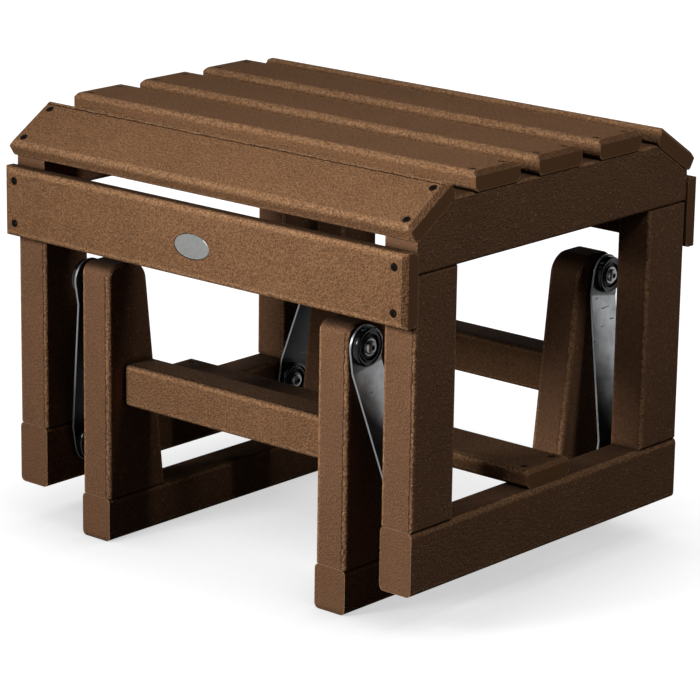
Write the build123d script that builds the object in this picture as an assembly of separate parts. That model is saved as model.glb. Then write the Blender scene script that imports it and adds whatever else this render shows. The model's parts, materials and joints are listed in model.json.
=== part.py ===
"""Glider ottoman: a slatted seat frame that swings on four steel arms over a fixed base.

Origin on the floor below the middle of the ottoman. +X runs along the slats, -Y is the
front, +Z is up. Millimetres. The right front quarter is drawn once and mirrored.
"""
from build123d import *
import os
from math import atan2, cos, degrees, hypot, radians, sin, tan

os.makedirs("parts", exist_ok=True)

# ---------------------------------------------------------------- lumber
lumber = 38.0                 # thickness of every post, rail, upright and runner
rail_edge = 5.0               # roundover on the long edges of the runners and lower rails
upright_edge = 3.0            # around both sides of an upright, and on the cross rails
post_edge = 2.5               # on the posts and the top edges of the upper rails
board_edge = 5.5              # larger roundover on the thin boards

# ---------------------------------------------------------------- fixed base
base_width = 350.0            # over the outer faces of the uprights
base_depth = 406.0            # runner length, also over the uprights
runner_height = 45.0
upright_top = 284.0           # height of the upright tops above the floor
upright_foot_depth = 80.5     # depth of an upright where it stands on the runner
upright_head_depth = 52.5     # depth at its top: the inner edge slants
upright_outer_round = 12.0    # radius of the top corner on the plumb edge
upright_inner_round = 20.0    # radius of the top corner on the slanted edge
cross_rail_setback = 21.0     # cross rail face behind the upright face
cross_rail_bottom = 138.5
cross_rail_height = 43.0

# ---------------------------------------------------------------- swinging seat frame
frame_width = 518.0           # over the outer faces of the posts
frame_depth = 415.0           # over the faces of the posts
lower_rail_bottom = 39.5      # the frame hangs this far above the floor
lower_rail_height = 63.0
post_depth = 60.0
post_top = 347.5
upper_rail_height = 64.5
knee_y = 155.2                # where the flat top of the upper rail turns down
slope_angle = radians(32.3)   # fall of the end slats
apron_length = 522.0
apron_height = 70.0
apron_bottom = 300.5
apron_thickness = 18.0
stretcher_length = 508.0
stretcher_width = 65.5
stretcher_thickness = 18.5
stretcher_offset = 4.2        # it sits this far behind the middle

# ---------------------------------------------------------------- top slats
slat_length = 520.0
slat_width = 66.0
slat_thickness = 19.0
slat_pitch = 94.4
slope_slat_overlap = 1.5      # end slat reaches this far past the knee

# ---------------------------------------------------------------- swing arms
upper_pivot_y, upper_pivot_z = 186.0, 263.0
lower_pivot_y, lower_pivot_z = 154.0, 80.0
arm_thickness = 2.5
arm_end_radius = 20.5
arm_upper_gap = 5.0           # upright face to the middle of the arm plate
arm_lower_gap = 6.75          # lower rail face to the middle of the arm plate
arm_bend_from_pivot = 21.5    # both bends start this far from their pivot
arm_bend_radius = 9.0

# ---------------------------------------------------------------- bearings, from the plate middle
bearing_seat_radius = 15.0    # hole in the arm that the bearing is pressed into
bearing_radius = 19.0         # the drum that stands on the arm
bearing_height = 7.5
bearing_shoulder_height = 5.6 # where the rounded outer rim of the drum starts
bearing_crown_radius = 17.0   # inner end of that rim
recess_radius = 12.2          # open middle of the drum
recess_floor = 3.4
bearing_back = 2.6            # how far the drum reaches behind the plate
seal_inner_radius = 8.6
seal_crown_radius = 10.8
seal_height = 5.2
hub_radius = 8.0
hub_height = 6.0
hub_flange_radius = 11.0      # the flange that stands on the lumber
hub_flange_height = 3.0       # its top is this far behind the plate middle
running_clearance = 0.05      # between the hub and the bearing that turns on it

# ---------------------------------------------------------------- pivot bolts
pivot_bolt_radius = 4.0
pivot_bolt_grip = 31.0        # length of bolt inside the lumber
washer_radius = 8.5
washer_thickness = 1.2
bolt_head_radius = 6.5
bolt_head_height = 3.4
bolt_head_bevel = 1.0
socket_radius = 2.9
socket_depth = 2.2
open_pivot_travel = 5.4       # length that the clearance slots of the back lower bolts add
open_pivot_clearance = 0.6    # between such a bolt and the sides of its slot

# ---------------------------------------------------------------- screws
screw_length = 45.0           # holds slats, aprons and stretcher
screw_head_radius = 3.9
screw_head_land = 0.5         # straight rim above the countersunk cone
screw_cone_height = 2.3
screw_shank_radius = 2.1
screw_sink = 0.4              # screw heads sit just under the surface
screw_inset = 12.5            # from the end of a slat
apron_screw_inset = 14.5      # from the end of an apron
screw_half_spacing = 21.5     # two screws at each end of a board
frame_screw_radius = 3.0
frame_screw_head_radius = 6.0
frame_screw_head_height = 4.0
frame_screw_pocket = 6.0      # depth of the pocket that hides a frame screw head
upright_screw_length = 95.0   # runner to upright
cross_rail_screw_length = 95.0
low_post_screw_length = 110.0
top_post_screw_length = 80.0
top_post_screw_depth = 38.0   # its head sits this far down in the upper rail
top_post_screw_inset = 11.0   # from the inner face of the side frame

# ---------------------------------------------------------------- worked out from the above
base_face = base_width / 2                       # outer face of an upright
base_inner = base_face - lumber
base_end = base_depth / 2
frame_face = frame_width / 2                     # outer face of a post
frame_inner = frame_face - lumber
frame_end = frame_depth / 2
lower_rail_top = lower_rail_bottom + lower_rail_height
upper_rail_top = post_top + upper_rail_height
slope_low_z = upper_rail_top - (frame_end - knee_y) * tan(slope_angle)
arm_length = hypot(upper_pivot_y - lower_pivot_y, upper_pivot_z - lower_pivot_z)
arm_tilt = degrees(atan2(upper_pivot_y - lower_pivot_y, upper_pivot_z - lower_pivot_z))
arm_upper_x = base_face + arm_upper_gap
arm_lower_x = frame_inner - arm_lower_gap
side_x = (frame_face + frame_inner) / 2          # middle of the thickness of a side frame
base_x = (base_face + base_inner) / 2            # middle of the thickness of a base side

SIDES = ("right", "left")
ENDS = ("front", "back")
FLAT_SLATS = {"front": -slat_pitch, "middle": 0, "back": slat_pitch}
FORWARD = Axis((0, 0, 0), (0, -1, 0))


# ---------------------------------------------------------------- helpers
def board(x_span, y_span, z_span, grain, edge_round, seen=None):
    """A straight board between the given limits, with its edges along the grain rounded.

    Where seen is an axis, the ends of the face that looks along it are rounded too.
    """
    spans = (x_span, y_span, z_span)
    middle = [(high + low) / 2 for low, high in spans]
    block = Pos(*middle) * Box(*[high - low for low, high in spans])
    edges = block.edges().filter_by(grain)
    if seen:
        edges += block.faces().sort_by(seen)[-1].edges().filter_by(grain, reverse=True)
    return fillet(edges, edge_round)


def to_corner(shape, side, end):
    """Mirror a shape drawn at the right front to another corner."""
    if side == "left":
        shape = mirror(shape, about=Plane.YZ)
    if end == "back":
        shape = mirror(shape, about=Plane.XZ)
    return shape


def corners(shape):
    """The shape drawn at the right front, at all four corners."""
    return [to_corner(shape, side, end) for end in ENDS for side in SIDES]


def save(name, *shapes):
    """Write one node, as one solid or as a group of separate solids."""
    solids = [solid for shape in shapes for solid in shape.solids()]
    whole = solids[0] if len(solids) == 1 else Compound(children=solids)
    export_step(whole, f"parts/{name}.step")


def turned(profile, axis):
    """Revolve (distance along X, radius) or (radius, height) points about the X or Z axis."""
    return revolve(Plane.XZ * make_face(Polyline(*profile, close=True)), axis)


# ---------------------------------------------------------------- screws, heads up at the origin
def board_screw(top=-screw_sink):
    """Countersunk screw down -Z from just under the surface; with top 0 it is its hole."""
    rim = -screw_sink - screw_head_land
    neck = rim - screw_cone_height
    tip = -screw_sink - screw_length
    return turned([(0, top), (screw_head_radius, top), (screw_head_radius, rim),
                   (screw_shank_radius, neck), (screw_shank_radius, tip), (0, tip)], Axis.Z)


def frame_screw(length, pocket=0):
    """Long cylinder-head screw down -Z from z = 0; with a pocket above it, it is its hole."""
    neck = -frame_screw_head_height
    return turned([(0, pocket), (frame_screw_head_radius, pocket),
                   (frame_screw_head_radius, neck), (frame_screw_radius, neck),
                   (frame_screw_radius, -length), (0, -length)], Axis.Z)


# ---------------------------------------------------------------- where the screws go
slope_plane = Plane(origin=(0, -knee_y, upper_rail_top), x_dir=(1, 0, 0),
                    z_dir=(0, -sin(slope_angle), cos(slope_angle)))
slope_slat_middle = slope_slat_overlap - slat_width / 2
SCREW_SIGNS = [(sx, sy) for sx in (1, -1) for sy in (1, -1)]


def flat_slat_screw_places(slat_y):
    x = slat_length / 2 - screw_inset
    return [Pos(sx * x, slat_y + sy * screw_half_spacing, upper_rail_top + slat_thickness)
            for sx, sy in SCREW_SIGNS]


def slope_slat_screw_places():
    x = slat_length / 2 - screw_inset
    return [slope_plane.location
            * Pos(sx * x, slope_slat_middle + sy * screw_half_spacing, slat_thickness)
            for sx, sy in SCREW_SIGNS]


def apron_screw_places():
    x = apron_length / 2 - apron_screw_inset
    middle = apron_bottom + apron_height / 2
    return [Pos(sx * x, -frame_end - apron_thickness, middle + sz * screw_half_spacing)
            * Rot(X=90) for sx, sz in SCREW_SIGNS]


def stretcher_screw_places():
    top = lower_rail_top + stretcher_thickness
    return [Pos(sx * side_x, stretcher_offset + sy * screw_half_spacing, top)
            for sx, sy in SCREW_SIGNS]


def low_post_screw_places():
    """Up through the lower rail into the front post, in front of the pivot bolt."""
    middle = -frame_end + post_depth / 2
    return [Pos(side_x, middle + dy, lower_rail_bottom + frame_screw_pocket) * Rot(X=180)
            for dy in (-18.5, 5.5)]


def top_post_screw_places():
    """Down through the upper rail into the front post, inside the slat screws."""
    middle = -frame_end + post_depth / 2
    return [Pos(frame_inner + top_post_screw_inset, middle + dy,
                upper_rail_top - top_post_screw_depth) for dy in (-12, 12)]


def upright_screw_places():
    """Up through the runner into the front upright."""
    middle = -base_end + upright_foot_depth / 2
    return [Pos(base_x, middle + dy, frame_screw_pocket) * Rot(X=180) for dy in (-20, 14)]


def cross_rail_screw_places():
    """Through the upright into the end of the cross rail."""
    y = -base_end + cross_rail_setback + lumber / 2
    middle = cross_rail_bottom + cross_rail_height / 2
    return [Pos(base_face - frame_screw_pocket, y, middle + dz) * Rot(Y=90)
            for dz in (-11, 11)]


# ---------------------------------------------------------------- pivots, drawn on the X axis
def pivot_pieces(plate_x, facing, gap):
    """Bearing, seal, hub, washer and bolt about the X axis, at a plate in the plane plate_x.

    facing is +1 where the bolt head looks towards +X and -1 where it looks towards -X.
    gap is the distance from the middle of the plate to the lumber.
    """
    def about_plate(profile):
        return turned([(plate_x + facing * height, radius) for height, radius in profile],
                      Axis.X)

    half = arm_thickness / 2
    bore = hub_radius + running_clearance
    crown_rise = (bearing_height - bearing_shoulder_height) * 0.7
    bearing = about_plate([
        (half, bearing_radius), (bearing_shoulder_height, bearing_radius),
        (bearing_shoulder_height + crown_rise, bearing_radius - 0.6),
        (bearing_height, bearing_crown_radius), (bearing_height, recess_radius + 1),
        (bearing_height - 1, recess_radius), (recess_floor, recess_radius),
        (recess_floor, bore), (-bearing_back, bore), (-bearing_back, bearing_seat_radius),
        (half, bearing_seat_radius)])
    seal = about_plate([(recess_floor, seal_inner_radius), (recess_floor, recess_radius),
                        (seal_height - 0.6, recess_radius), (seal_height, seal_crown_radius),
                        (seal_height - 0.4, seal_inner_radius)])
    hub = about_plate([(-gap, pivot_bolt_radius), (-gap, hub_flange_radius),
                       (-hub_flange_height, hub_flange_radius), (-hub_flange_height, hub_radius),
                       (hub_height, hub_radius), (hub_height, pivot_bolt_radius)])
    seat = hub_height + washer_thickness
    washer = about_plate([(hub_height, pivot_bolt_radius), (hub_height, washer_radius),
                          (seat, washer_radius), (seat, pivot_bolt_radius)])
    crown = seat + bolt_head_height
    tip = -gap - pivot_bolt_grip
    bolt = about_plate([(crown, 0), (crown, bolt_head_radius - bolt_head_bevel),
                        (crown - bolt_head_bevel, bolt_head_radius), (seat, bolt_head_radius),
                        (seat, pivot_bolt_radius), (tip, pivot_bolt_radius), (tip, 0)])
    socket_floor = Plane.YZ.offset(plate_x + facing * (crown - socket_depth))
    bolt -= extrude(socket_floor * RegularPolygon(socket_radius, 6), facing * (socket_depth + 1))
    return {"bearing": bearing, "seal": seal, "hub": hub, "washer": washer, "bolt": bolt}


at_upper_pivot = Pos(0, -upper_pivot_y, upper_pivot_z)
at_lower_pivot = Pos(0, -lower_pivot_y, lower_pivot_z)
upper_pieces = {name: at_upper_pivot * piece
                for name, piece in pivot_pieces(arm_upper_x, 1, arm_upper_gap).items()}
lower_pieces = {name: at_lower_pivot * piece
                for name, piece in pivot_pieces(arm_lower_x, -1, arm_lower_gap).items()}


def swing_arm():
    """The right front arm: a stadium-shaped plate joggled outwards between its bearings."""
    past = 2 * arm_end_radius
    route = FilletPolyline((arm_upper_x, past), (arm_upper_x, -arm_bend_from_pivot),
                           (arm_lower_x, -arm_length + arm_bend_from_pivot),
                           (arm_lower_x, -arm_length - past), radius=arm_bend_radius)
    sheet = extrude(Plane.XZ * trace(route, line_width=arm_thickness), past, both=True)
    stadium = (Pos(0, -arm_length / 2) * Rot(Z=90)
               * SlotCenterToCenter(arm_length, 2 * arm_end_radius))
    block = extrude(Plane.YZ.offset(arm_upper_x - past) * stadium,
                    arm_lower_x - arm_upper_x + 2 * past)
    arm = sheet & block
    for z in (0, -arm_length):
        arm -= Pos(arm_upper_x, 0, z) * Rot(Y=90) * Cylinder(bearing_seat_radius, 4 * past)
    return at_upper_pivot * Rot(X=arm_tilt) * arm


def open_pivot_slot():
    """Blind slot in a back lower rail, longer than the bolt, for the opened pivot."""
    width = 2 * (pivot_bolt_radius + open_pivot_clearance)
    slot = Plane.YZ.offset(frame_inner) * (
        Pos(lower_pivot_y + open_pivot_travel / 2, lower_pivot_z)
        * SlotCenterToCenter(open_pivot_travel, width))
    return extrude(slot, pivot_bolt_grip + 2)


# ---------------------------------------------------------------- base lumber
def base_runner():
    runner = board((base_inner, base_face), (-base_end, base_end), (0, runner_height),
                   Axis.Y, rail_edge)
    for end in ENDS:
        for place in upright_screw_places():
            hole = place * frame_screw(upright_screw_length, frame_screw_pocket)
            runner -= to_corner(hole, "right", end)
    return runner


def upright_outline():
    """Side view of the front upright: plumb outer edge, slanted inner edge, rounded head."""
    front = -base_end
    corners_of_it = [(front, runner_height), (front + upright_foot_depth, runner_height),
                     (front + upright_head_depth, upright_top), (front, upright_top)]
    outline = make_face(Polyline(*corners_of_it, close=True))
    outline = fillet(outline.vertices().group_by(Axis.Y)[-1].sort_by(Axis.X)[0],
                     upright_outer_round)
    return fillet(outline.vertices().group_by(Axis.Y)[-1].sort_by(Axis.X)[-1],
                  upright_inner_round)


def base_upright():
    upright = extrude(Plane.YZ.offset(base_inner) * upright_outline(), lumber)
    sides = upright.faces().sort_by(Axis.X)
    around = [edge for face in (sides[0], sides[-1]) for edge in face.edges()
              if edge.center().Z > runner_height + 1]
    upright = fillet(around, upright_edge)
    for place in upright_screw_places():
        upright -= place * frame_screw(upright_screw_length)
    for place in cross_rail_screw_places():
        upright -= place * frame_screw(cross_rail_screw_length, frame_screw_pocket)
    return upright - upper_pieces["bolt"]


def base_cross_rail():
    front = -base_end + cross_rail_setback
    rail = board((-base_inner, base_inner), (front, front + lumber),
                 (cross_rail_bottom, cross_rail_bottom + cross_rail_height),
                 Axis.X, upright_edge)
    for place in cross_rail_screw_places():
        for side in SIDES:
            rail -= to_corner(place * frame_screw(cross_rail_screw_length), side, "front")
    return rail


# ---------------------------------------------------------------- seat frame lumber
def lower_rail():
    rail = board((frame_inner, frame_face), (-frame_end, frame_end),
                 (lower_rail_bottom, lower_rail_top), Axis.Y, rail_edge)
    for end in ENDS:
        for place in low_post_screw_places():
            hole = place * frame_screw(low_post_screw_length, frame_screw_pocket)
            rail -= to_corner(hole, "right", end)
    for place in stretcher_screw_places():
        rail -= place * board_screw()
    return rail - lower_pieces["bolt"] - open_pivot_slot()


def post():
    """Right front post, between the lower and the upper rail."""
    piece = board((frame_inner, frame_face), (-frame_end, -frame_end + post_depth),
                  (lower_rail_top, post_top), Axis.Z, post_edge, seen=Axis.X)
    for place in low_post_screw_places():
        piece -= place * frame_screw(low_post_screw_length)
    for place in top_post_screw_places():
        piece -= place * frame_screw(top_post_screw_length)
    for place in apron_screw_places():
        piece -= place * board_screw()
    return piece


def upper_rail():
    """Right upper rail: its top falls away at both ends to carry the sloped slats."""
    outline = Polyline((-frame_end, post_top), (frame_end, post_top), (frame_end, slope_low_z),
                       (knee_y, upper_rail_top), (-knee_y, upper_rail_top),
                       (-frame_end, slope_low_z), close=True)
    rail = extrude(Plane.YZ.offset(frame_inner) * make_face(outline), lumber)
    top_edges = [edge for edge in rail.edges()
                 if abs(edge.center().X - side_x) > 1 and edge.center().Z > slope_low_z + 1]
    rail = fillet(top_edges, post_edge)
    for end in ENDS:
        for place in top_post_screw_places():
            hole = place * frame_screw(top_post_screw_length, top_post_screw_depth)
            rail -= to_corner(hole, "right", end)
        for place in slope_slat_screw_places() + apron_screw_places():
            rail -= to_corner(place * board_screw(), "right", end)
    for slat_y in FLAT_SLATS.values():
        for place in flat_slat_screw_places(slat_y):
            rail -= place * board_screw()
    return rail


def screwed(piece, places):
    """The board with a countersunk hole at each place."""
    for place in places:
        piece -= place * board_screw(top=0)
    return piece


def apron():
    piece = board((-apron_length / 2, apron_length / 2),
                  (-frame_end - apron_thickness, -frame_end),
                  (apron_bottom, apron_bottom + apron_height), Axis.X, board_edge, seen=FORWARD)
    return screwed(piece, apron_screw_places())


def flat_slat(slat_y):
    slat = board((-slat_length / 2, slat_length / 2),
                 (slat_y - slat_width / 2, slat_y + slat_width / 2),
                 (upper_rail_top, upper_rail_top + slat_thickness), Axis.X, board_edge,
                 seen=Axis.Z)
    return screwed(slat, flat_slat_screw_places(slat_y))


def slope_slat():
    """Front end slat, lying on the slope of the upper rails."""
    slat = board((-slat_length / 2, slat_length / 2),
                 (slope_slat_middle - slat_width / 2, slope_slat_middle + slat_width / 2),
                 (0, slat_thickness), Axis.X, board_edge, seen=Axis.Z)
    return screwed(slope_plane.location * slat, slope_slat_screw_places())


def stretcher():
    piece = board((-stretcher_length / 2, stretcher_length / 2),
                  (stretcher_offset - stretcher_width / 2, stretcher_offset + stretcher_width / 2),
                  (lower_rail_top, lower_rail_top + stretcher_thickness), Axis.X, board_edge,
                  seen=Axis.Z)
    return screwed(piece, stretcher_screw_places())


# ---------------------------------------------------------------- write the base
runner_shape, cross_rail_shape, upright_shape = base_runner(), base_cross_rail(), base_upright()
for side in SIDES:
    save(f"base_runner_{side}", to_corner(runner_shape, side, "front"))
for end in ENDS:
    save(f"base_cross_rail_{end}", to_corner(cross_rail_shape, "right", end))
    for side in SIDES:
        save(f"base_upright_{end}_{side}", to_corner(upright_shape, side, end))
save("upright_screws", *[screw for place in upright_screw_places()
                         for screw in corners(place * frame_screw(upright_screw_length))])
save("cross_rail_screws", *[screw for place in cross_rail_screw_places()
                            for screw in corners(place * frame_screw(cross_rail_screw_length))])
save("upper_pivot_bolts", *corners(upper_pieces["bolt"]))
save("upper_pivot_washers", *corners(upper_pieces["washer"]))
save("upper_bearing_hubs", *corners(upper_pieces["hub"]))

# ---------------------------------------------------------------- write the seat frame
lower_rail_shape, upper_rail_shape, post_shape = lower_rail(), upper_rail(), post()
for side in SIDES:
    save(f"lower_rail_{side}", to_corner(lower_rail_shape, side, "front"))
    save(f"upper_rail_{side}", to_corner(upper_rail_shape, side, "front"))
    for end in ENDS:
        save(f"post_{end}_{side}", to_corner(post_shape, side, end))
apron_shape, slope_slat_shape = apron(), slope_slat()
for end in ENDS:
    save(f"apron_{end}", to_corner(apron_shape, "right", end))
    save(f"slat_sloped_{end}", to_corner(slope_slat_shape, "right", end))
for name, slat_y in FLAT_SLATS.items():
    save(f"slat_flat_{name}", flat_slat(slat_y))
save("stretcher", stretcher())
save("slat_screws",
     *[place * board_screw() for slat_y in FLAT_SLATS.values()
       for place in flat_slat_screw_places(slat_y)],
     *[to_corner(place * board_screw(), "right", end) for end in ENDS
       for place in slope_slat_screw_places()])
save("apron_screws", *[to_corner(place * board_screw(), "right", end) for end in ENDS
                       for place in apron_screw_places()])
save("stretcher_screws", *[place * board_screw() for place in stretcher_screw_places()])
save("post_screws_lower", *[screw for place in low_post_screw_places()
                            for screw in corners(place * frame_screw(low_post_screw_length))])
save("post_screws_upper", *[screw for place in top_post_screw_places()
                            for screw in corners(place * frame_screw(top_post_screw_length))])

# ---------------------------------------------------------------- write the linkage
arm_shape = swing_arm()
for end in ENDS:
    for side in SIDES:
        save(f"swing_arm_{end}_{side}", to_corner(arm_shape, side, end))
    for height, pieces in (("upper", upper_pieces), ("lower", lower_pieces)):
        save(f"bearings_{end}_{height}",
             *[to_corner(pieces["bearing"], side, end) for side in SIDES])
    save(f"bearing_seals_{end}", *[to_corner(pieces["seal"], side, end) for side in SIDES
                                   for pieces in (upper_pieces, lower_pieces)])
    for piece, plural in (("bolt", "pivot_bolts"), ("washer", "pivot_washers"),
                          ("hub", "bearing_hubs")):
        save(f"lower_{plural}_{end}",
             *[to_corner(lower_pieces[piece], side, end) for side in SIDES])
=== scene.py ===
import json
from math import cos, pi, radians, sin

import bmesh
import bpy
from mathutils import Matrix, Vector


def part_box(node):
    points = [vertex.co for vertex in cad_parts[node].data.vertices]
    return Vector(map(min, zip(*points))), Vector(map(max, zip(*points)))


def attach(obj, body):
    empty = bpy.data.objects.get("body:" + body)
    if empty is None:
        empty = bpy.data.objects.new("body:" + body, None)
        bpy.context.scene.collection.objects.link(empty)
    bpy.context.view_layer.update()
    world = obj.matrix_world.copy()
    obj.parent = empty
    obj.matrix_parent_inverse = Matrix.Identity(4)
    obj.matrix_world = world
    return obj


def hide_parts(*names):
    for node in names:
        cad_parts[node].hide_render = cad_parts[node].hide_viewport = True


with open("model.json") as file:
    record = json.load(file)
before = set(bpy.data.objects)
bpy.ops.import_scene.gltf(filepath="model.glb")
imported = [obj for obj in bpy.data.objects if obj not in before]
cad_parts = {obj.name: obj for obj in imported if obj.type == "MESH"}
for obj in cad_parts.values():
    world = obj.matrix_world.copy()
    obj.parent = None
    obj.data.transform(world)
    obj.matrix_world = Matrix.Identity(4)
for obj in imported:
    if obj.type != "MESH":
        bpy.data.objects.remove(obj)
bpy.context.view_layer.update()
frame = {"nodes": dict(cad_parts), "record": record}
mm = 0.001

# ---------------------------------------------------------------- what the frame says
record = frame["record"]
BODY_OF = {node: body for body, nodes in record["behaviour"]["bodies"].items() for node in nodes}
SLOT_OF = {part["node"]: part["material_slot"] for part in record["subparts"]}
SIDES = {"right": 1, "left": -1}
ENDS = {"front": -1, "back": 1}
FLAT_SLATS = ("front", "middle", "back")
TOP_FACE, FRONT_FACE = (2, 1), (1, -1)          # axis and side of a board's seen face

# ---------------------------------------------------------------- sizes that the boxes don't give
rail_edge = 5.2 * mm          # roundover on runners and lower rails
upright_edge = 4.5 * mm
post_edge = 3.2 * mm          # on posts and upper rails
sawn_edge = 0.6 * mm          # arris left where an upper rail is sawn at a slant
board_edge = 5.5 * mm
board_chamfer = 4.5 * mm      # on the seen ends of slats, aprons and stretcher
upright_head_depth = 52.5 * mm
upright_outer_round = 12.0 * mm
upright_inner_round = 20.0 * mm
knee_y = 155.2 * mm           # where the flat top of an upper rail turns down
slope_angle = radians(32.3)
slat_width = 66.0 * mm
slat_thickness = 19.0 * mm
slope_slat_overlap = 1.5 * mm

screw_head_radius = 3.7 * mm
screw_shank_radius = 2.1 * mm
screw_sink = 0.8 * mm         # of the head below the board's face
screw_tip = -45.4 * mm
screw_cross = (4.6 * mm, 0.95 * mm, 3.2 * mm)   # one wing of the cross recess
screw_cross_taper = 0.35      # its width at the bottom, as a share of that at the top
screw_cross_turn = radians(20)
screw_inset = 12.5 * mm
apron_screw_inset = 14.5 * mm
screw_half_spacing = 21.5 * mm

pocket_radius = 6.0 * mm      # holes over the heads of the long frame screws
pocket_depth = 6.0 * mm
top_pocket_depth = 38.0 * mm
top_pocket_inset = 11.0 * mm
runner_pockets = (-20 * mm, 14 * mm)            # along Y, from the middle of the front
bottom_rail_pockets = (-18.5 * mm, 5.5 * mm)    # upright or post that the screws go into
top_rail_pockets = (-12 * mm, 12 * mm)

arm_thickness = 2.5 * mm
arm_edge = 0.4 * mm           # its stamped edge, broken
# where the painted shadow on each arm starts, and how its edge slants
shadow_start = {("front", "right"): 73, ("back", "right"): 138,      # mm down each arm
              ("front", "left"): 30, ("back", "left"): 30}
shadow_lean = 1.7               # how much further down it starts for each mm across the arm
lower_bolt_tip, upper_bolt_tip = -37.75, -36.0  # mm from the middle of the arm's plate
bolt_socket_radius = 2.9 * mm
bolt_socket_length, bolt_socket_middle = 8.0 * mm, 10.4 * mm

badge_width, badge_height = 45.0 * mm, 24.0 * mm
badge_x, badge_z = -3.6 * mm, 332.5 * mm
badge_thickness = 1.2 * mm
badge_gap = 0.6 * mm          # dark line between the plate and its pocket

same_place = 1e-6             # m: points that are nearer than this are one

# attributes that mark_edges and swing_arm store and the materials read
GAP_LOW, GAP_HIGH, SEAM, ALONG_ARM = "gap_low", "gap_high", "seam", "along_arm"
# how dark the seam beside a rounded edge shows: above 0 on the front or top of a piece, below
# 0 on its faces across X. On the sloped end slats the seam is a painted shade line where the gap
# before the first flat slat lies in shade, and on the top rails the line along the bottom edge
# is partly a painted shadow of that edge
SEAM_DEPTH = {"front": 0.65, "back": 0.45, "runner": 0.15, "bottom_rail": 0.5,
              "top_rail": -0.25, "cross_rail": 0.8, "end_slat": 0.9}


# ---------------------------------------------------------------- nodes
def linear(hex_colour):
    """The linear colour of an sRGB hex value such as #7A5A42."""
    channels = [int(hex_colour[i:i + 2], 16) / 255 for i in (1, 3, 5)]
    return [c / 12.92 if c <= 0.04045 else ((c + 0.055) / 1.055) ** 2.4 for c in channels] + [1]


def node(tree, kind, settings=None, inputs=None):
    """Add a node to a tree, set its properties and set or link its inputs."""
    made = tree.nodes.new("ShaderNode" + kind)
    for name, value in (settings or {}).items():
        setattr(made, name, value)
    for socket, value in (inputs or {}).items():
        if isinstance(value, bpy.types.NodeSocket):
            tree.links.new(value, made.inputs[socket])
        else:
            made.inputs[socket].default_value = value
    return made


def calc(tree, operation, *values):
    """The result of a sum on one, two or three values."""
    return node(tree, "Math", {"operation": operation}, dict(enumerate(values))).outputs[0]


def remap(tree, value, start, stop, low=0.0, high=1.0, shape="LINEAR"):
    """A value that goes from low to high as another goes from start to stop."""
    return node(tree, "MapRange", {"interpolation_type": shape}, {
        "Value": value, "From Min": start, "From Max": stop,
        "To Min": low, "To Max": high}).outputs[0]


def mix(tree, share, first, second, blend="MIX"):
    """The first colour, with a share from 0 to 1 of the second."""
    return node(tree, "MixRGB", {"blend_type": blend}, {
        "Fac": share, "Color1": first, "Color2": second}).outputs[0]


def ramp(tree, value, low, dark, high, light):
    """A colour that runs from dark at one value to light at another."""
    made = node(tree, "ValToRGB", inputs={"Fac": value})
    for element, place, colour in zip(made.color_ramp.elements, (low, high), (dark, light)):
        element.position, element.color = place, linear(colour)
    return made.outputs[0]


def noise(tree, place, size, detail=2.0, roughness=0.5):
    """Random soft blobs of about one size, from 0 to 1."""
    return node(tree, "TexNoise", inputs={
        "Vector": place, "Scale": 1 / size, "Detail": detail,
        "Roughness": roughness}).outputs[0]


def openness(tree, distance, samples=6):
    """1 where nothing stands nearer than the distance, less where something does."""
    return node(tree, "AmbientOcclusion", {"samples": samples},
                {"Distance": distance}).outputs["AO"]


def stored(tree, name, output="Vector"):
    """What a piece's mesh holds under an attribute's name."""
    return node(tree, "Attribute", {"attribute_name": name}).outputs[output]


def parts(tree, vector):
    """The X, Y and Z of a vector."""
    return node(tree, "SeparateXYZ", inputs={0: vector}).outputs


def new_material(name):
    material = bpy.data.materials.new(name)
    material.use_nodes = True
    material.node_tree.nodes.clear()
    return material, material.node_tree


def finish_material(material, tree, surface):
    node(tree, "OutputMaterial", inputs={"Surface": surface.outputs[0]})
    return material


# ---------------------------------------------------------------- lumber
def edge_shares(tree, across, wander):
    """Shares from 0 to 1 that follow from the distances to a piece's four sides, all in
    millimetres: the routed bands along its rounded edges, which the lumber paints lighter partly
    as a highlight, the ragged seam beside them, the painted pale highlights on the rims of its
    ends and on arrises, and its faces across the first axis that isn't its grain."""
    band_inside, band_outside = 2.3, 3.3        # from the rounded edge to the plain face
    seam_offset, seam_wander, seam_core, seam_fringe = 2.7, 5.0, 0.2, 0.8
    on_face, off_face = 0.8, 1.6
    near = node(tree, "VectorMath", {"operation": "MINIMUM"},
                {0: stored(tree, GAP_LOW), 1: stored(tree, GAP_HIGH)}).outputs[0]
    first, second, radius = parts(tree, near)
    reach = calc(tree, "SUBTRACT", calc(tree, "ADD", first, second), radius)
    reach = calc(tree, "MULTIPLY_ADD", wander, seam_wander, reach)
    band = remap(tree, reach, band_outside, band_inside, shape="SMOOTHSTEP")
    side, flat = (remap(tree, gap, off_face, on_face) for gap in (first, second))

    # the seam shows beside one of the two edges of a face only
    seam = calc(tree, "ABSOLUTE", calc(tree, "SUBTRACT", reach, seam_offset))
    seam = remap(tree, seam, seam_fringe, seam_core)
    one_edge = remap(tree, parts(tree, stored(tree, GAP_HIGH))[0], 10.0, 9.0)
    seam = calc(tree, "MULTIPLY", seam, one_edge)
    depth = stored(tree, SEAM, "Fac")
    on_flat = calc(tree, "MULTIPLY", calc(tree, "MAXIMUM", depth, 0.0), flat)
    on_side = calc(tree, "MULTIPLY", calc(tree, "MINIMUM", depth, 0.0), side)
    seam = calc(tree, "MULTIPLY", seam, calc(tree, "SUBTRACT", on_flat, on_side))

    # painted highlights: pale rims on end faces near their edges, and on sharp arrises
    rim = remap(tree, calc(tree, "MINIMUM", first, second), 1.0, 0.3, high=0.4)
    rim = calc(tree, "MULTIPLY", rim, remap(tree, across, 0.85, 0.95))
    arris_highlight = remap(tree, calc(tree, "MAXIMUM", first, second), 1.0, 0.6, high=0.8)
    return band, seam, calc(tree, "MAXIMUM", rim, arris_highlight), side


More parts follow.
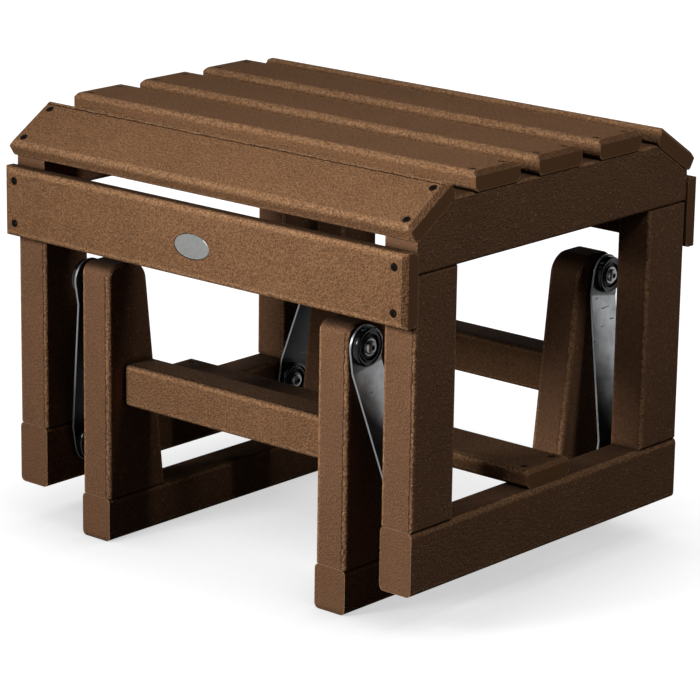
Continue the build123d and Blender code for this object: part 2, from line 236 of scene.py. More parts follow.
def painted_shade(tree, colour):
    """A colour with painted shade: darker on sheltered tops deep inside the frame, and dark in
    narrow gaps.
    """
    hollow_reach, crevice_reach = 450 * mm, 8 * mm
    # painted shade: tops deep inside the frame go dark, and narrow gaps darker still
    hollow = remap(tree, openness(tree, hollow_reach), 0.85, 0.5, high=0.8)
    upward = parts(tree, node(tree, "NewGeometry").outputs["Normal"])["Z"]
    upward = remap(tree, upward, 0.3, 0.8)
    colour = mix(tree, calc(tree, "MULTIPLY", hollow, upward), colour, linear("#16100C"))
    crevice = remap(tree, openness(tree, crevice_reach), 0.3, 0.85, low=0.15)
    return mix(tree, 1.0, colour, crevice, "MULTIPLY")


def moulded_lumber(name, grain):
    """Foamed HDPE lumber, extruded and embossed: matt, with a fine pebble that the light
    catches, routed edges painted lighter with stronger flecks, partly as a highlight, paler
    burrs, a ragged seam beside rounded edges, which in places is painted shade, painted pale
    highlights on the rims of ends and on arrises, smooth sawn ends, and painted shade in narrow
    gaps and on sheltered tops."""
    # the boards along X are a little lighter and rougher than the lumber of the frames
    if grain == "x":
        dark, light, relief = "#6F4F36", "#8E684A", 3.0 * mm
        end_skin, side_burrs, flat_bump, side_bump = 0.0, 0.25, 1.0, 0.9
    else:
        dark, light, relief = "#6D4E38", "#805D45", 2.6 * mm
        end_skin, side_burrs, flat_bump, side_bump = 0.7, 0.55, 0.75, 1.0

    material, tree = new_material(name)
    coordinates = node(tree, "TexCoord").outputs
    place = coordinates["Object"]
    axis = "xyz".index(grain)
    across = calc(tree, "ABSOLUTE", parts(tree, coordinates["Normal"])[axis])
    drag_stretch, burr_lean, burr_stretch = 0.16, -0.8, 2.6
    stretch = [1.0, 1.0, 1.0]
    stretch[axis] = drag_stretch
    drawn = node(tree, "Mapping", inputs={"Vector": place, "Scale": stretch}).outputs[0]
    leaning = node(tree, "Mapping", {"vector_type": "TEXTURE"}, {
        "Vector": place, "Rotation": (burr_lean, 0.0, 0.0),
        "Scale": (1.0, 1.0, burr_stretch)}).outputs[0]

    # the real pebble is under a millimetre: it is drawn as coarse as a render can show
    pebble_size, drag_size, patch_size = 1.9 * mm, 1.5 * mm, 55 * mm
    routed_size, burr_size, seam_size = 2.4 * mm, 1.7 * mm, 5 * mm
    pebble = noise(tree, place, pebble_size, roughness=0.7)
    drag = noise(tree, drawn, drag_size)
    patches = noise(tree, place, patch_size, 3.0)
    routed = noise(tree, place, routed_size, 3.0, 0.75)
    burr = noise(tree, leaning, burr_size, 1.0)
    wander = noise(tree, place, seam_size, 4.0, 0.7)

    band_share, burr_height, seam_height = 0.75, 0.5, -1.2
    band, seam, rim, side = edge_shares(tree, across, wander)
    band = calc(tree, "MULTIPLY", band, band_share)
    skin = remap(tree, across, 0.95, 0.85, low=end_skin)
    burrs = calc(tree, "MULTIPLY", remap(tree, burr, 0.62, 0.74), skin)
    burr_share = calc(tree, "MULTIPLY", burrs, remap(tree, side, 0.0, 1.0, 0.25, side_burrs))

    colour = mix(tree, 0.25, ramp(tree, pebble, 0.4, dark, 0.6, light), patches, "MULTIPLY")
    colour = mix(tree, skin, linear("#684A33"), colour)
    # the routed band is painted lighter, with lit and dark flecks: partly its own texture, partly
    # a painted highlight on the rounded edges
    colour = mix(tree, band, colour, ramp(tree, routed, 0.38, "#654630", 0.62, "#AD8460"))
    colour = mix(tree, burr_share, colour, linear("#BE9C7C"))
    # painted highlight: pale lines on the rims of ends and on sawn arrises
    colour = mix(tree, rim, colour, linear("#A08468"))
    # the ragged seam; on the sloped slats and along the top rails' bottom edges it is painted
    # shade
    colour = mix(tree, seam, colour, linear("#2E2017"))
    # painted shade in narrow gaps and on sheltered tops
    colour = painted_shade(tree, colour)

    height = mix(tree, band, mix(tree, 0.25, pebble, drag), routed)
    height = calc(tree, "MULTIPLY", height, skin)
    height = calc(tree, "MULTIPLY_ADD", burrs, burr_height, height)
    height = calc(tree, "MULTIPLY_ADD", seam, seam_height, height)
    bump = node(tree, "Bump", inputs={
        "Strength": remap(tree, side, 0.0, 1.0, flat_bump, side_bump), "Distance": relief,
        "Height": height}).outputs[0]
    surface = node(tree, "BsdfPrincipled", inputs={
        "Base Color": colour, "Roughness": remap(tree, pebble, 0.0, 1.0, 0.7, 0.92),
        "IOR": 1.5, "Normal": bump, "Specular IOR Level": 0.03})
    return finish_material(material, tree, surface)


# ---------------------------------------------------------------- metals and rubber
def zinc_plated_steel():
    """Stamped sheet steel, zinc plated: a satin grey metal with faint rolling lines, a few
    scratches, duller smudges, a painted dark shadow low down with a slanting edge and painted
    shade round the upper bearing, both on the flats only, and evenly rubbed edges."""
    shadow_band, bearing_shade_end, bearing_shade_start = 24.0, 22.5, 20.5      # mm along the arm
    material, tree = new_material("zinc_plated_stamped_steel")
    coordinates = node(tree, "TexCoord").outputs
    place = coordinates["Object"]
    lines = node(tree, "Mapping", inputs={"Vector": place, "Scale": (1, 1, 0.06)}).outputs[0]
    turned = node(tree, "Mapping", inputs={
        "Vector": place, "Rotation": (0.6, 0, 0), "Scale": (1, 0.12, 1)}).outputs[0]
    line_size, smudge_size, scratch_size = 1.5 * mm, 22 * mm, 3 * mm
    rolled = noise(tree, lines, line_size)
    smudge = noise(tree, place, smudge_size, 4.0, 0.6)
    scratch = remap(tree, noise(tree, turned, scratch_size), 0.68, 0.7)

    flat = calc(tree, "ABSOLUTE", parts(tree, coordinates["Normal"])["X"])
    flat = remap(tree, flat, 0.3, 0.5)
    down, into_shadow, _ = parts(tree, stored(tree, ALONG_ARM))
    # painted shadow: the flats go dark below a slanting line, and round the upper bearing
    painted_shadow = remap(tree, into_shadow, -shadow_band, shadow_band, high=0.95, shape="SMOOTHSTEP")
    bearing_shade = remap(tree, down, bearing_shade_end, bearing_shade_start, high=0.75)
    painted_shadow = calc(tree, "MULTIPLY", calc(tree, "MAXIMUM", painted_shadow, bearing_shade), flat)

    colour = ramp(tree, smudge, 0.35, "#77787A", 0.7, "#A6A8AA")
    colour = mix(tree, flat, linear("#7E7F81"), colour)
    colour = mix(tree, painted_shadow, colour, linear("#0E0E0F"))
    colour = mix(tree, scratch, colour, linear("#3A3B3D"))
    bump = node(tree, "Bump", inputs={
        "Strength": 0.12, "Distance": 0.1 * mm,
        "Height": calc(tree, "SUBTRACT", rolled, scratch)}).outputs[0]
    surface = node(tree, "BsdfPrincipled", inputs={
        "Base Color": colour, "Metallic": 1.0,
        "Roughness": remap(tree, smudge, 0.3, 0.7, 0.3, 0.46), "Normal": bump})
    return finish_material(material, tree, surface)


def worn_finish(name, dark, light, smooth, rough, speck_size, metallic=0.0, shine=0.5):
    """An even colour with fine wear, smoother and duller by turns."""
    material, tree = new_material(name)
    place = node(tree, "TexCoord").outputs["Object"]
    speck = noise(tree, place, speck_size, 4.0, 0.6)
    bump = node(tree, "Bump", inputs={
        "Strength": 0.1, "Distance": 0.1 * mm, "Height": speck}).outputs[0]
    surface = node(tree, "BsdfPrincipled", inputs={
        "Base Color": ramp(tree, speck, 0.35, dark, 0.68, light), "Metallic": metallic,
        "Roughness": remap(tree, speck, 0.3, 0.7, smooth, rough), "Normal": bump,
        "Specular IOR Level": shine})
    return finish_material(material, tree, surface)


LUMBER = {grain: moulded_lumber("moulded_hdpe_lumber_along_" + grain, grain) for grain in "xyz"}
ARM_STEEL = zinc_plated_steel()
# wet-looking black enamel, which shows as a few sharp highlights
BEARING_BLACK = worn_finish("gloss_black_enamelled_steel", "#040404", "#0B0B0C", 0.08, 0.16,
                            6 * mm, shine=0.2)
# soft, dull and a little lighter than the enamel round it
SEAL_RUBBER = worn_finish("moulded_nitrile_rubber", "#101011", "#1A1A1A", 0.5, 0.65, 3 * mm,
                          shine=0.25)
# plain bright metal, the lightest spot in the middle of each bearing
BOLT_STEEL = worn_finish("zinc_plated_bolt_steel", "#6E6F71", "#9B9C9E", 0.28, 0.42, 5 * mm,
                         metallic=1.0)
# matt black dots on the boards, with hardly a glint
SCREW_BLACK = worn_finish("black_oxide_screw_steel", "#060505", "#110E0C", 0.6, 0.8, 1.5 * mm,
                          shine=0.04)
# an even, pale satin grey
BADGE_METAL = worn_finish("satin_anodised_aluminium", "#70716F", "#7E7F7C", 0.36, 0.44, 2 * mm,
                          metallic=0.2)


# ---------------------------------------------------------------- mesh helpers
def block(low, high):
    """A closed box between two corners."""
    bm = bmesh.new()
    middle, size = (low + high) / 2, high - low
    bmesh.ops.create_cube(bm, size=1, matrix=Matrix.Translation(middle) @ Matrix.Diagonal(
        size.to_4d()))
    return bm


def along(edge, axis):
    """True if an edge runs along axis 0, 1 or 2."""
    direction = (edge.verts[1].co - edge.verts[0].co).normalized()
    return abs(direction[axis]) > 0.999


def at_level(edge, axis, level):
    """True if both ends of an edge have the same place on axis 0, 1 or 2."""
    return all(abs(vert.co[axis] - level) < same_place for vert in edge.verts)


def round_over(bm, edges, radius, segments=5):
    bmesh.ops.bevel(bm, geom=list(edges), offset=radius, offset_type="OFFSET",
                    segments=segments, profile=0.5, affect="EDGES", material=-1,
                    clamp_overlap=True)


def halve(bm, point, normal, clear_outer=False):
    """Cut a shape's faces along a plane, and clear what is outside it if asked to."""
    return bmesh.ops.bisect_plane(
        bm, geom=bm.verts[:] + bm.edges[:] + bm.faces[:], dist=1e-7, plane_co=point,
        plane_no=normal, clear_outer=clear_outer)["geom_cut"]


def spun(profile, steps):
    """A closed turned shape about the Z axis from (radius, height) points."""
    bm = bmesh.new()
    verts = [bm.verts.new((radius, 0, height)) for radius, height in profile]
    ring = list(zip(verts, verts[1:]))
    if profile[0][0] > 0:
        ring.append((verts[-1], verts[0]))
    edges = [bm.edges.new(pair) for pair in ring]
    bmesh.ops.spin(bm, geom=verts + edges, cent=(0, 0, 0), axis=(0, 0, 1), dvec=(0, 0, 0),
                   angle=2 * pi, steps=steps, use_merge=True)
    bmesh.ops.remove_doubles(bm, verts=bm.verts[:], dist=same_place)
    bmesh.ops.recalc_face_normals(bm, faces=bm.faces[:])
    return bm


def in_mm(*points):
    """A profile whose points are written in millimetres."""
    return [(radius * mm, height * mm) for radius, height in points]


def placed(bm, matrix):
    bm.transform(matrix)
    return bm


def join(shapes):
    """One bmesh that holds several, which are freed."""
    whole = bmesh.new()
    for shape in shapes:
        mesh = bpy.data.meshes.new("part")
        shape.to_mesh(mesh)
        shape.free()
        whole.from_mesh(mesh)
        bpy.data.meshes.remove(mesh)
    return whole


def copies(shape, places):
    """A shape repeated at each of the places, as one bmesh."""
    found = [placed(shape.copy(), place) for place in places]
    shape.free()
    return join(found)


def cut(bm, cutter):
    """The first shape less the second."""
    holders = []
    for shape in (bm, cutter):
        mesh = bpy.data.meshes.new("cutting")
        shape.to_mesh(mesh)
        shape.free()
        holders.append(bpy.data.objects.new("cutting", mesh))
        bpy.context.scene.collection.objects.link(holders[-1])
    body, tool = holders
    boolean = body.modifiers.new("cut", "BOOLEAN")
    boolean.object, boolean.operation, boolean.solver = tool, "DIFFERENCE", "EXACT"
    bpy.context.view_layer.update()
    result = bpy.data.meshes.new_from_object(
        body.evaluated_get(bpy.context.evaluated_depsgraph_get()))
    left = bmesh.new()
    left.from_mesh(result)
    meshes = [result] + [holder.data for holder in holders]
    for holder in holders:
        bpy.data.objects.remove(holder)
    for mesh in meshes:
        bpy.data.meshes.remove(mesh)
    return left


def drilled(bm, places, radius, depth):
    """The shape with a round hole that goes down from z = 0 of each place."""
    rise = 1 * mm
    drill = bmesh.new()
    bmesh.ops.create_cone(drill, cap_ends=True, segments=24, radius1=radius, radius2=radius,
                          depth=depth + rise,
                          matrix=Matrix.Translation((0, 0, (rise - depth) / 2)))
    return cut(bm, copies(drill, places))


def side_planes(low, high, grain, place=Matrix()):
    """Point and inward normal of the four sides of a box that lie along its grain. Each side
    is a list, because a broken one has several planes."""
    planes = []
    for axis in range(3):
        if axis != "xyz".index(grain):
            for corner, sign in ((low, 1), (high, -1)):
                normal = Vector((0, 0, 0))
                normal[axis] = sign
                planes.append([(place @ corner, place.to_3x3() @ normal)])
    return planes


def mark_edges(bm, planes, radius, seam=0.0):
    """Store how far each vertex is from four sides, in millimetres, with the radius of the
    rounded edges, so that the lumber material finds those edges, and how dark the seam beside
    them is."""
    low_layer = bm.verts.layers.float_vector.new(GAP_LOW)
    high_layer = bm.verts.layers.float_vector.new(GAP_HIGH)
    seam_layer = bm.verts.layers.float.new(SEAM)
    for vert in bm.verts:
        vert[seam_layer] = seam
        gaps = [min((vert.co - point).dot(normal) for point, normal in sides) / mm
                for sides in planes]
        vert[low_layer] = (gaps[0], gaps[2], radius / mm)
        vert[high_layer] = (gaps[1], gaps[3], radius / mm)


def piece(name, bm, cad_node, material, sharp=35):
    """Make an object of a shape, which rides on the body of a CAD node and has its slot."""
    mesh = bpy.data.meshes.new(name)
    bm.to_mesh(mesh)
    bm.free()
    mesh.materials.append(material)
    for face in mesh.polygons:
        face.use_smooth = True
    mesh.set_sharp_from_angle(angle=radians(sharp))
    made = bpy.data.objects.new(name, mesh)
    bpy.context.scene.collection.objects.link(made)
    weighted = made.modifiers.new("even_flats", "WEIGHTED_NORMAL")
    weighted.keep_sharp = True
    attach(made, BODY_OF[cad_node])
    return made


def stand_in(name, bm, cad_node, material, sharp=35):
    """A piece that takes the place of its CAD node."""
    made = piece(name, bm, cad_node, material, sharp)
    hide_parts(cad_node)


# ---------------------------------------------------------------- where things go
apron_low, apron_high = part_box("apron_front")
stretcher_low, stretcher_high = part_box("stretcher")
rail_low, rail_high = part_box("upper_rail_right")
slat_half_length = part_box("slat_flat_middle")[1].x
stretcher_inset = stretcher_high.x - (rail_low.x + rail_high.x) / 2
SCREW_SIGNS = [(sx, sy) for sx in (1, -1) for sy in (1, -1)]
half_turn = Matrix.Rotation(pi, 4, "Z")         # takes what is at the front to the back
upside_down = Matrix.Rotation(pi, 4, "X")
facing_front = Matrix.Rotation(radians(90), 4, "X")
slope = Matrix.Translation((0, -knee_y, rail_high.z)) @ Matrix.Rotation(slope_angle, 4, "X")
slope_middle = slope_slat_overlap - slat_width / 2
badge_place = Matrix.Translation((badge_x, apron_low.y, badge_z)) @ facing_front


def flat_screw_places(low, high, inset):
    """Four places on top of a board that lies flat."""
    middle = (low.y + high.y) / 2
    return [Matrix.Translation((sx * (high.x - inset), middle + sy * screw_half_spacing, high.z))
            for sx, sy in SCREW_SIGNS]


def slope_screw_places():
    x = slat_half_length - screw_inset
    return [slope @ Matrix.Translation((sx * x, slope_middle + sy * screw_half_spacing,
                                        slat_thickness)) for sx, sy in SCREW_SIGNS]


def apron_screw_places():
    x = apron_high.x - apron_screw_inset
    middle = (apron_low.z + apron_high.z) / 2
    return [Matrix.Translation((sx * x, apron_low.y, middle + sz * screw_half_spacing))
            @ facing_front for sx, sz in SCREW_SIGNS]


def both_ends(places):
    """Places at the front, and the same at the back."""
    return places + [half_turn @ place for place in places]


def pocket_places(post, x, offsets, level, facing=Matrix()):
    """Mouths of the long screws' pockets at both ends of a side: the offsets are from the
    middle of the front post, facing turns +Z out of the wood."""
    low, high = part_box(post)
    middle = (low.y + high.y) / 2
    return [Matrix.Translation((x, sign * (middle + offset), level)) @ facing
            for sign in (1, -1) for offset in offsets]


# ---------------------------------------------------------------- thin boards
def screwed(bm, places):
    """The board with a countersunk mouth at each screw."""
    mouth = spun(in_mm((0, 1.0), (6.9, 1.0), (4.0, -0.95), (4.0, -2.0), (0, -2.0)), steps=24)
    return cut(bm, copies(mouth, places))


def thin_board(low, high, seen):
    """A board along X: long edges rounded, the ends of its seen face (axis, side) bevelled."""
    bm = block(low, high)
    axis, side = seen
    level = high[axis] if side > 0 else low[axis]
    ends = [e for e in bm.edges
            if not along(e, 0) and not along(e, axis) and at_level(e, axis, level)]
    round_over(bm, ends, board_chamfer, segments=1)
    round_over(bm, [e for e in bm.edges if along(e, 0)], board_edge, segments=6)
    return bm


def flat_board(name, cad_node, inset):
    low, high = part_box(cad_node)
    bm = screwed(thin_board(low, high, TOP_FACE), flat_screw_places(low, high, inset))
    mark_edges(bm, side_planes(low, high, "x"), board_edge)
    stand_in(name, bm, cad_node, LUMBER["x"])


def sloped_slat(end):
    low = Vector((-slat_half_length, slope_middle - slat_width / 2, 0))
    high = Vector((slat_half_length, slope_middle + slat_width / 2, slat_thickness))
    bm = placed(thin_board(low, high, TOP_FACE), slope)
    bm = screwed(bm, slope_screw_places())
    mark_edges(bm, side_planes(low, high, "x", slope), board_edge, SEAM_DEPTH["end_slat"])
    if end == "back":
        placed(bm, half_turn)
    stand_in(f"end_slat_{end}", bm, f"slat_sloped_{end}", LUMBER["x"])


def apron(end):
    bm = screwed(thin_board(apron_low, apron_high, FRONT_FACE), apron_screw_places())
    if end == "front":
        bm = cut(bm, badge_pocket())
    mark_edges(bm, side_planes(apron_low, apron_high, "x"), board_edge)
    if end == "back":
        placed(bm, half_turn)
    stand_in(f"apron_board_{end}", bm, f"apron_{end}", LUMBER["x"])


# ---------------------------------------------------------------- thick lumber
def straight_lumber(name, cad_node, grain, radius, seam, seen=None, pockets=()):
    """A thick piece as long as its CAD node. Its edges along the grain are rounded, and those
    of its ends too if it lies along X; seen is the side (1 or -1) whose top and bottom edges
    are rounded as well."""
    low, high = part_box(cad_node)
    bm = block(low, high)
    axis = "xyz".index(grain)
    edges = [e for e in bm.edges if along(e, axis) or grain == "x"]
    if seen:
        level = high.x if seen > 0 else low.x
        edges += [e for e in bm.edges if along(e, 1) and at_level(e, 0, level)]
    round_over(bm, edges, radius)
    if pockets:
        bm = drilled(bm, pockets, pocket_radius, pocket_depth)
    planes = side_planes(low, high, grain)
    if grain == "x":
        planes[:2] = reversed(planes[:2])   # its seam is at the front
    mark_edges(bm, planes, radius, seam)
    stand_in(name, bm, cad_node, LUMBER[grain])


def upright(end, side):
    """Plumb outer edge, slanted inner edge and two rounded top corners of different radius."""
    cad_node = f"base_upright_{end}_{side}"
    low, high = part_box(cad_node)
    bm = block(low, high)
    outer_y, inner_y = (low.y, high.y) if end == "front" else (high.y, low.y)
    head_y = outer_y - ENDS[end] * upright_head_depth
    for edge in bm.edges:
        if at_level(edge, 2, high.z) and at_level(edge, 1, inner_y):
            for vert in edge.verts:
                vert.co.y = head_y
    for level, radius in ((outer_y, upright_outer_round), (head_y, upright_inner_round)):
        corner = [e for e in bm.edges if at_level(e, 2, high.z) and at_level(e, 1, level)]
        round_over(bm, corner, radius, segments=10)
    rims = [e for e in bm.edges if not along(e, 0) and not at_level(e, 2, low.z)]
    round_over(bm, rims, upright_edge)

    planes = side_planes(low, high, "z")
    slant = Vector((0, ENDS[end] * (high.z - low.z), -abs(head_y - inner_y))).normalized()
    planes[3 if end == "front" else 2] = [(Vector((0, inner_y, low.z)), slant)]
    mark_edges(bm, planes, upright_edge, SEAM_DEPTH[end])
    stand_in(f"upright_{end}_{side}", bm, cad_node, LUMBER["z"])


def upper_rail(side):
    """Its top falls away at both ends under the sloped slats."""
    cad_node = f"upper_rail_{side}"
    low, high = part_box(cad_node)
    bm = block(low, high)
    round_over(bm, [e for e in bm.edges if along(e, 1)], post_edge)
    slants = {sign: (Vector((0, sign * knee_y, high.z)),
                     Vector((0, sign * sin(slope_angle), cos(slope_angle))))
              for sign in ENDS.values()}
    for sign, (point, normal) in slants.items():
        made = halve(bm, point, normal, clear_outer=True)
        cut_edges = [e for e in made if isinstance(e, bmesh.types.BMEdge)]
        bmesh.ops.holes_fill(bm, edges=cut_edges, sides=0)
        slanted = [e for e in bm.edges if not any(along(e, axis) for axis in range(3))
                   and at_level(e, 0, e.verts[0].co.x) and sign * e.verts[0].co.y > 0]
        round_over(bm, slanted, sawn_edge, segments=2)
    # a vertex line across the middle, so that the distance to the two slants is true between
    halve(bm, (0, 0, 0), (0, 1, 0))

    inner_x = (low.x + top_pocket_inset) if side == "right" else (high.x - top_pocket_inset)
    bm = drilled(bm, pocket_places("post_front_right", inner_x, top_rail_pockets, high.z),
                 pocket_radius, top_pocket_depth)
    planes = side_planes(low, high, "y")
    planes[2] = [(point, -normal) for point, normal in slants.values()]
    mark_edges(bm, planes, post_edge, SEAM_DEPTH["top_rail"])
    stand_in(f"top_rail_{side}", bm, cad_node, LUMBER["y"])


# ---------------------------------------------------------------- screws
def board_screw():
    """Countersunk screw with a slightly domed, cross-recessed head, head up at z = 0."""
    top, rim, neck = -screw_sink, -screw_sink - 0.5 * mm, -screw_sink - 2.8 * mm
    bm = spun([(0, top), (screw_head_radius * 0.6, top - 0.04 * mm),
               (screw_head_radius - 0.35 * mm, top - 0.12 * mm), (screw_head_radius, rim),
               (screw_shank_radius, neck), (screw_shank_radius, screw_tip), (0, screw_tip)],
              steps=24)
    for turn in (0, pi / 2):
        wing = bmesh.new()
        bmesh.ops.create_cube(wing, size=1, matrix=Matrix.Diagonal((*screw_cross, 1)))
        for vert in wing.verts:
            if vert.co.z < 0:
                vert.co.x *= screw_cross_taper
        bm = cut(bm, placed(wing, Matrix.Translation((0, 0, top)) @ Matrix.Rotation(
            turn + screw_cross_turn, 4, "Z")))
    return bm


def board_screws(name, cad_node, places):
    stand_in(name, copies(board_screw(), places), cad_node, SCREW_BLACK)


# ---------------------------------------------------------------- pivots
def pivot_place(end, height, side):
    """Frame of one bearing: its origin in the middle of the plate, +Z towards the bolt head."""
    low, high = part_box(f"bearings_{end}_{height}")
    arm_low, arm_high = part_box(f"swing_arm_{end}_right")
    half = arm_thickness / 2
    x = arm_low.x + half if height == "upper" else arm_high.x - half
    facing = SIDES[side] * (1 if height == "upper" else -1)
    return (Matrix.Translation((SIDES[side] * x, (low.y + high.y) / 2, (low.z + high.z) / 2))
            @ Matrix.Rotation(facing * pi / 2, 4, "Y"))


def bearing_drum():
    """Drawn housing: rolled outer shoulder, shallow groove on its face and a raised lip."""
    return spun(in_mm(
        (15.0, 1.25), (19.0, 1.25), (19.0, 5.2), (18.85, 6.1), (18.3, 6.9), (17.5, 7.35),
        (16.8, 7.5), (16.1, 7.35), (15.7, 6.85), (15.1, 6.6), (14.3, 6.7), (13.8, 7.2),
        (13.3, 7.5), (12.8, 7.4), (12.3, 6.9), (12.2, 6.2), (12.2, 3.4), (8.05, 3.4),
        (8.05, -2.6), (15.0, -2.6)), steps=72)


def seal_ring():
    """Dished rubber seal between the housing and the hub."""
    return spun(in_mm(
        (8.6, 3.4), (12.2, 3.4), (12.2, 4.6), (11.6, 5.1), (10.8, 5.2), (9.9, 4.7),
        (9.2, 4.9), (8.6, 4.8)), steps=56)


def pivot_bolt(tip):
    """Button head bolt with a hexagonal socket; z = 0 is the middle of the arm plate."""
    bm = spun(in_mm(
        (0, 10.6), (3.4, 10.6), (4.8, 10.35), (5.8, 9.75), (6.35, 8.9), (6.5, 8.1),
        (6.5, 7.2), (4.0, 7.2), (4.0, tip), (0, tip)), steps=48)
    socket = bmesh.new()
    bmesh.ops.create_cone(socket, cap_ends=True, segments=6, radius1=bolt_socket_radius,
                          radius2=bolt_socket_radius, depth=bolt_socket_length,
                          matrix=Matrix.Translation((0, 0, bolt_socket_middle)))
    return cut(bm, socket)


def swing_arm(end, side):
    """The joggled plate, taken from the CAD solid, with its stamped edge broken. Its vertices
    store how far down the arm they are and how far into the painted shadow, in millimetres."""
    cad_node = f"swing_arm_{end}_{side}"
    bm = bmesh.new()
    bm.from_mesh(frame["nodes"][cad_node].data)
    bmesh.ops.remove_doubles(bm, verts=bm.verts[:], dist=same_place)
    bmesh.ops.dissolve_limit(bm, angle_limit=radians(0.5), verts=bm.verts[:], edges=bm.edges[:])
    rims = [e for e in bm.edges if e.is_manifold and e.calc_face_angle() > radians(50)]
    round_over(bm, rims, arm_edge, segments=2)

    upper, lower = (pivot_place(end, height, side).translation for height in ("upper", "lower"))
    downward = (lower - upper).yz.normalized()
    sideways = Vector((-downward.y, downward.x))
    layer = bm.verts.layers.float_vector.new(ALONG_ARM)
    for vert in bm.verts:
        place = (vert.co - upper).yz / mm
        down = place.dot(downward)
        into_shadow = down - shadow_lean * place.dot(sideways) - shadow_start[end, side]
        vert[layer] = (down, into_shadow, 0)
    stand_in(f"arm_{end}_{side}", bm, cad_node, ARM_STEEL, sharp=2)


# ---------------------------------------------------------------- badge
def badge_pocket():
    """Cutter for the shallow oval pocket that the plate is set in."""
    shape = bmesh.new()
    bmesh.ops.create_cone(shape, cap_ends=True, segments=64, radius1=1, radius2=1, depth=2)
    size = Matrix.Diagonal((badge_width / 2 + badge_gap, badge_height / 2 + badge_gap,
                            badge_thickness, 1))
    return placed(shape, badge_place @ size)


def badge():
    """Bare oval plate, flush in the front apron, slightly domed, with a turned rim."""
    bm = spun([(0, 0.0), (0.5, 0.0), (0.82, -0.04), (0.9, -0.14), (0.93, 0.0), (0.97, -0.04),
               (1.0, -0.35), (1.0, -1.0), (0, -1.0)], steps=72)
    size = Matrix.Diagonal((badge_width / 2, badge_height / 2, badge_thickness, 1))
    piece("badge_plate", placed(bm, badge_place @ size), "apron_front", BADGE_METAL)


# ---------------------------------------------------------------- build the object
for side in SIDES:
    for name, cad_node, post, offsets in (
            ("runner", "base_runner", "base_upright_front", runner_pockets),
            ("bottom_rail", "lower_rail", "post_front", bottom_rail_pockets)):
        low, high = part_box(f"{cad_node}_{side}")
        pockets = pocket_places(f"{post}_{side}", (low.x + high.x) / 2, offsets, low.z,
                                upside_down)
        straight_lumber(f"{name}_{side}", f"{cad_node}_{side}", "y", rail_edge,
                        SEAM_DEPTH[name], pockets=pockets)
    upper_rail(side)
    for end in ENDS:
        upright(end, side)
        straight_lumber(f"leg_{end}_{side}", f"post_{end}_{side}", "z", post_edge,
                        SEAM_DEPTH[end], seen=SIDES[side])
        swing_arm(end, side)
for end in ENDS:
    straight_lumber(f"cross_rail_{end}", f"base_cross_rail_{end}", "x", upright_edge,
                    SEAM_DEPTH["cross_rail"])
    apron(end)
    sloped_slat(end)
for name in FLAT_SLATS:
    flat_board(f"top_slat_{name}", f"slat_flat_{name}", screw_inset)
flat_board("stretcher_board", "stretcher", stretcher_inset)

slat_places = [place for name in FLAT_SLATS
               for place in flat_screw_places(*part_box(f"slat_flat_{name}"), screw_inset)]
board_screws("screws_of_slats", "slat_screws", slat_places + both_ends(slope_screw_places()))
board_screws("screws_of_aprons", "apron_screws", both_ends(apron_screw_places()))
board_screws("screws_of_stretcher", "stretcher_screws",
             flat_screw_places(stretcher_low, stretcher_high, stretcher_inset))

for end in ENDS:
    for height in ("upper", "lower"):
        places = [pivot_place(end, height, side) for side in SIDES]
        stand_in(f"drums_{end}_{height}", copies(bearing_drum(), places),
                 f"bearings_{end}_{height}", BEARING_BLACK, sharp=50)
    seals = [pivot_place(end, height, side) for side in SIDES for height in ("upper", "lower")]
    stand_in(f"seals_{end}", copies(seal_ring(), seals), f"bearing_seals_{end}", SEAL_RUBBER)
    lower = [pivot_place(end, "lower", side) for side in SIDES]
    stand_in(f"bolts_{end}_lower", copies(pivot_bolt(lower_bolt_tip), lower),
             f"lower_pivot_bolts_{end}", BOLT_STEEL)
upper = [pivot_place(end, "upper", side) for end in ENDS for side in SIDES]
stand_in("bolts_upper", copies(pivot_bolt(upper_bolt_tip), upper), "upper_pivot_bolts",
         BOLT_STEEL)
badge()

# the hubs, washers and long screws stay CAD solids
FINISH_OF_SLOT = {"moulded_lumber": LUMBER["y"], "arm_steel": ARM_STEEL,
                  "bearing_housing_steel": BEARING_BLACK, "seal_rubber": SEAL_RUBBER,
                  "pivot_bolt_steel": BOLT_STEEL, "black_screw_steel": SCREW_BLACK}
for name, solid in frame["nodes"].items():
    for holder in solid.material_slots:
        holder.material = FINISH_OF_SLOT[SLOT_OF[name]]


# ---------------------------------------------------------------- floor, light and camera
floor_half_size = 12
floor_drop = 0.2 * mm         # keeps it clear of the runners
key_from, key_to = (-0.35, -1.37, 0.85), (0.85, -0.4, 0.23)
side_from, side_to = (1.45, -0.1, 2.0), (0, 0, 0.2)
softbox_size = 0.4
camera_place = (2.1286, -2.4679, 1.1045)        # fitted to points of the photo
camera_yaw, camera_pitch, camera_roll = radians(40.75), radians(15.74), radians(0.874)


def seen_rays(tree):
    """1 for the rays that see a thing directly, in a metal or through glass, else 0."""
    rays = node(tree, "LightPath").outputs
    seen = calc(tree, "MAXIMUM", rays["Is Camera Ray"], rays["Is Glossy Ray"])
    return calc(tree, "MAXIMUM", seen, rays["Is Transmission Ray"])


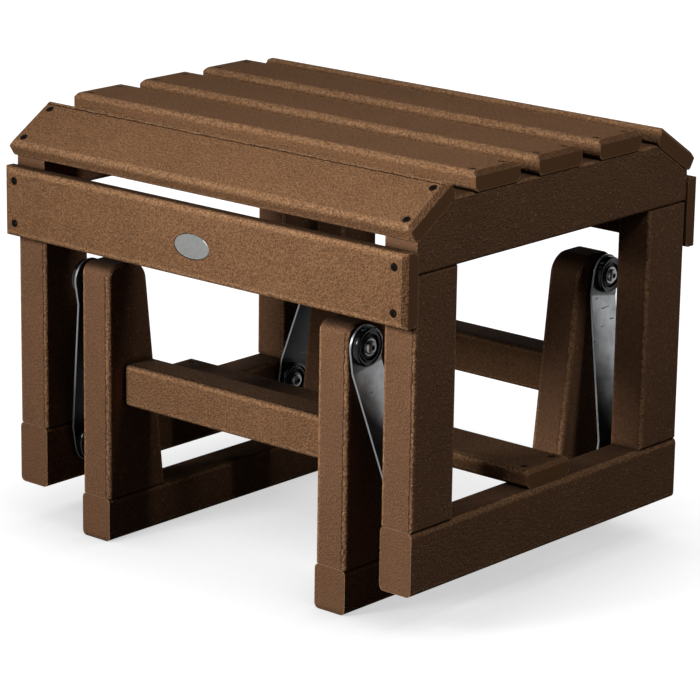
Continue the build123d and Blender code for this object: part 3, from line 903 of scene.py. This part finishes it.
def white_floor():
    """White paper under the object: it glows to a clean white, a little less towards the middle
    under the object, with a painted soft shade where the object stands close, and throws little
    light back up."""
    near, far, near_glow, far_glow, shade_reach = 0.25, 0.6, 0.97, 1.1, 300 * mm
    material, tree = new_material("white_studio_floor")
    place = node(tree, "TexCoord").outputs["Object"]
    distance = node(tree, "VectorMath", {"operation": "LENGTH"}, {0: place}).outputs["Value"]
    # painted shade: the glow is weaker towards the middle, and weaker again where the object
    # stands close
    bright = remap(tree, distance, near, far, near_glow, far_glow, "SMOOTHSTEP")
    shade = remap(tree, openness(tree, shade_reach, samples=16), 0.35, 0.96, low=0.6)
    glow = node(tree, "Emission", inputs={
        "Color": linear("#FFFFFF"), "Strength": calc(tree, "MULTIPLY", bright, shade)})
    matt = node(tree, "BsdfDiffuse", inputs={"Color": linear("#6E6E6E")})
    shown = node(tree, "AddShader", inputs={0: matt.outputs[0], 1: glow.outputs[0]})
    unseen = node(tree, "BsdfDiffuse", inputs={"Color": linear("#262626")})
    either = node(tree, "MixShader", inputs={
        "Fac": seen_rays(tree), 1: unseen.outputs[0], 2: shown.outputs[0]})
    return finish_material(material, tree, either)


def softbox(name, place, target, size, power, spread=180):
    """A square area lamp that looks at a point; its spread is in degrees."""
    data = bpy.data.lights.new(name, "AREA")
    data.shape, data.size, data.energy, data.spread = "SQUARE", size, power, radians(spread)
    lamp = bpy.data.objects.new(name, data)
    bpy.context.scene.collection.objects.link(lamp)
    lamp.location = place
    lamp.rotation_euler = (Vector(target) - Vector(place)).to_track_quat("-Z", "Y").to_euler()


floor_bm = bmesh.new()
bmesh.ops.create_grid(floor_bm, x_segments=1, y_segments=1, size=floor_half_size)
floor_mesh = bpy.data.meshes.new("studio_floor")
floor_bm.to_mesh(floor_mesh)
floor_bm.free()
floor_mesh.materials.append(white_floor())
floor = bpy.data.objects.new("studio_floor", floor_mesh)
bpy.context.scene.collection.objects.link(floor)
floor.location.z = -floor_drop

world_fill = 0.02             # the white of the world that lights the object
world = bpy.data.worlds.new("white_studio")
bpy.context.scene.world = world
world.use_nodes = True
tree = world.node_tree
tree.nodes.clear()
sky = node(tree, "Background", inputs={
    "Color": linear("#FFFFFF"),
    "Strength": remap(tree, seen_rays(tree), 0.0, 1.0, low=world_fill)})
node(tree, "OutputWorld", inputs={"Surface": sky.outputs[0]})

softbox("key_front_left", key_from, key_to, softbox_size, power=19.9, spread=130)
softbox("side_light_right", side_from, side_to, softbox_size, power=16.0)

camera_data = bpy.data.cameras.new("photo_camera")
camera_data.sensor_width, camera_data.lens = 36.0, 173.08
camera = bpy.data.objects.new("photo_camera", camera_data)
bpy.context.scene.collection.objects.link(camera)
camera.matrix_world = (Matrix.Translation(camera_place)
                       @ Matrix.Rotation(camera_yaw, 4, "Z")
                       @ Matrix.Rotation(pi / 2 - camera_pitch, 4, "X")
                       @ Matrix.Rotation(camera_roll, 4, "Z"))
bpy.context.scene.camera = camera
bpy.context.scene.view_settings.view_transform = "Standard"
